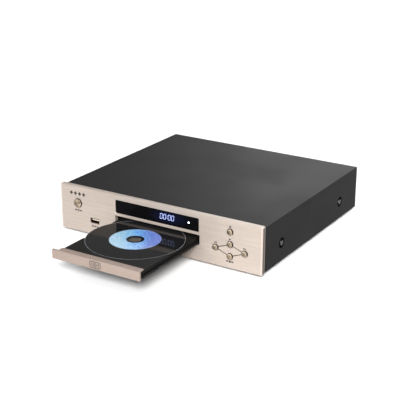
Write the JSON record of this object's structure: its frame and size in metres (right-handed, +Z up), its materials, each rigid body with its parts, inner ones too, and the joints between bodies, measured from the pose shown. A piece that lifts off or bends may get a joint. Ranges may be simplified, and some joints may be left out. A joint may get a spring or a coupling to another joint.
{
  "type": "cd player",
  "caption": "Low wide compact disc player with an aluminium front, a motorised disc tray, a display window and round transport buttons.",
  "frame": {"origin": "Centre of the bounding box on the table, with the tray open.", "axes": "+X to the right seen from the front, +Y to the rear, +Z up."},
  "size_m": [0.293, 0.3996, 0.0639],
  "materials": {
    "champagne_panel": "fine horizontal brushing, champagne anodised",
    "champagne_door": "brushed, champagne anodised",
    "window_black": "polished smoked acrylic",
    "zinc_sheet": "galvanised sheet steel",
    "cover_paint": "satin charcoal powder paint",
    "rear_paint": "satin black paint",
    "screw_steel": "blackened steel",
    "foot_rubber": "moulded rubber",
    "socket_black": "moulded, fine grain",
    "socket_white": "moulded",
    "socket_red": "moulded",
    "socket_orange": "moulded",
    "usb_steel": "bright nickel plate",
    "circuit_green": "solder resist",
    "circuit_brown": "phenolic board",
    "display_black": "moulded",
    "lamp_white": "clear lamp, lit white",
    "sink_aluminium": "extruded",
    "transformer_steel": "varnished laminations",
    "capacitor_blue": "printed sleeve",
    "bronze_button": "polished bronze plating",
    "tray_black": "satin moulded plastic",
    "disc_black": "polished black disc with a blue label",
    "mechanism_black": "moulded",
    "gear_white": "moulded acetal",
    "motor_steel": "plated can",
    "belt_rubber": "smooth",
    "rod_steel": "ground and polished",
    "sled_zinc": "die cast",
    "lens_glass": "coated lens in its holder",
    "pinion_brass": "machined"
  },
  "bodies": {
    "chassis": {"front_panel": "champagne_panel", "display_window": "window_black", "base_chassis": "zinc_sheet", "top_cover": "cover_paint", "rear_panel": "rear_paint", "left_front_cover_screw": "screw_steel", "left_rear_cover_screw": "screw_steel", "right_front_cover_screw": "screw_steel", "right_rear_cover_screw": "screw_steel", "left_front_foot": "foot_rubber", "left_rear_foot": "foot_rubber", "right_front_foot": "foot_rubber", "right_rear_foot": "foot_rubber", "mains_inlet": "socket_black", "left_audio_socket": "socket_white", "right_audio_socket": "socket_red", "coaxial_socket": "socket_orange", "optical_socket": "socket_black", "usb_socket": "usb_steel", "usb_board": "circuit_green", "key_board": "circuit_green", "power_switch_board": "circuit_brown", "display_board": "circuit_green", "display_module": "display_black", "status_lamp": "lamp_white", "main_board": "circuit_green", "power_board": "circuit_brown", "heat_sink": "sink_aluminium", "transformer": "transformer_steel", "filter_capacitor": "capacitor_blue", "loader_frame": "mechanism_black", "clamp_bridge": "zinc_sheet", "loading_motor": "motor_steel", "drive_belt": "belt_rubber"},
    "tray": {"disc_tray": "tray_black", "tray_door": "champagne_door"},
    "disc": {"compact_disc": "disc_black"},
    "tray_drive_gear": {"tray_gear": "gear_white"},
    "belt_gear": {"pulley_gear": "gear_white"},
    "loading_pulley": {"motor_pulley": "gear_white"},
    "clamp": {"clamp_puck": "gear_white"},
    "traverse": {"traverse_chassis": "mechanism_black", "spindle_motor": "motor_steel", "left_guide_rod": "rod_steel", "right_guide_rod": "rod_steel", "feed_motor": "motor_steel"},
    "spindle": {"turntable": "mechanism_black"},
    "sled": {"pickup_sled": "sled_zinc"},
    "lens": {"pickup_lens": "lens_glass"},
    "sled_gear": {"feed_gear": "gear_white"},
    "sled_motor_pinion": {"feed_pinion": "pinion_brass"},
    "power_key": {"power_button": "bronze_button"},
    "eject_key": {"eject_button": "bronze_button"},
    "play_key": {"play_button": "bronze_button"},
    "stop_key": {"stop_button": "bronze_button"},
    "previous_key": {"previous_button": "bronze_button"},
    "next_key": {"next_button": "bronze_button"}
  },
  "joints": [
    {"name": "tray_slide", "type": "slide", "parent": "chassis", "child": "tray", "axis": [0, -1, 0], "range_m": [-0.123, 0]},
    {"name": "disc_spin", "type": "hinge", "parent": "tray", "child": "disc", "pos_m": [0, -0.1208, 0.0327], "axis": [0, 0, 1], "continuous": true},
    {"name": "tray_gear_spin", "type": "hinge", "parent": "chassis", "child": "tray_drive_gear", "pos_m": [-0.0355, -0.0508, 0.024], "axis": [0, 0, 1], "continuous": true},
    {"name": "belt_gear_spin", "type": "hinge", "parent": "chassis", "child": "belt_gear", "pos_m": [-0.02393, -0.03701, 0.021], "axis": [0, 0, 1], "continuous": true},
    {"name": "loading_pulley_spin", "type": "hinge", "parent": "chassis", "child": "loading_pulley", "pos_m": [0.008, -0.0438, 0.0244], "axis": [0, 0, 1], "continuous": true},
    {"name": "clamp_spin", "type": "hinge", "parent": "chassis", "child": "clamp", "pos_m": [0, 0.0022, 0.0404], "axis": [0, 0, 1], "continuous": true},
    {"name": "traverse_tilt", "type": "hinge", "parent": "chassis", "child": "traverse", "pos_m": [0, 0.0832, 0.02], "axis": [-1, 0, 0], "range_deg": [0, 5]},
    {"name": "spindle_spin", "type": "hinge", "parent": "traverse", "child": "spindle", "pos_m": [0, 0.00138, 0.02589], "axis": [0, -0.0872, 0.9962], "continuous": true},
    {"name": "sled_feed", "type": "slide", "parent": "traverse", "child": "sled", "axis": [0, 0.9962, 0.0872], "range_m": [0, 0.035]},
    {"name": "sled_gear_spin", "type": "hinge", "parent": "traverse", "child": "sled_gear", "pos_m": [0.0318, 0.06085, 0.02306], "axis": [0, -0.0872, 0.9962], "continuous": true},
    {"name": "sled_pinion_spin", "type": "hinge", "parent": "traverse", "child": "sled_motor_pinion", "pos_m": [0.03765, 0.05373, 0.02445], "axis": [0, -0.0872, 0.9962], "continuous": true},
    {"name": "lens_focus", "type": "slide", "parent": "sled", "child": "lens", "axis": [0, -0.0872, 0.9962], "range_m": [-0.0005, 0.0005], "stiffness_N_per_m": 300},
    {"name": "power_press", "type": "slide", "parent": "chassis", "child": "power_key", "axis": [0, 1, 0], "range_m": [0, 0.0025], "stiffness_N_per_m": 400, "springref_m": -0.001},
    {"name": "eject_press", "type": "slide", "parent": "chassis", "child": "eject_key", "axis": [0, 1, 0], "range_m": [0, 0.0008], "stiffness_N_per_m": 500, "springref_m": -0.001},
    {"name": "play_press", "type": "slide", "parent": "chassis", "child": "play_key", "axis": [0, 1, 0], "range_m": [0, 0.0008], "stiffness_N_per_m": 500, "springref_m": -0.001},
    {"name": "stop_press", "type": "slide", "parent": "chassis", "child": "stop_key", "axis": [0, 1, 0], "range_m": [0, 0.0008], "stiffness_N_per_m": 500, "springref_m": -0.001},
    {"name": "previous_press", "type": "slide", "parent": "chassis", "child": "previous_key", "axis": [0, 1, 0], "range_m": [0, 0.0008], "stiffness_N_per_m": 500, "springref_m": -0.001},
    {"name": "next_press", "type": "slide", "parent": "chassis", "child": "next_key", "axis": [0, 1, 0], "range_m": [0, 0.0008], "stiffness_N_per_m": 500, "springref_m": -0.001}
  ],
  "couplings": [
    {"joint": "tray_gear_spin", "follows": "tray_slide", "rad_per_m": 100},
    {"joint": "belt_gear_spin", "follows": "tray_slide", "rad_per_m": -200},
    {"joint": "loading_pulley_spin", "follows": "tray_slide", "rad_per_m": -750},
    {"joint": "sled_gear_spin", "follows": "sled_feed", "rad_per_m": -208.33},
    {"joint": "sled_pinion_spin", "follows": "sled_feed", "rad_per_m": 333.33}
  ]
}
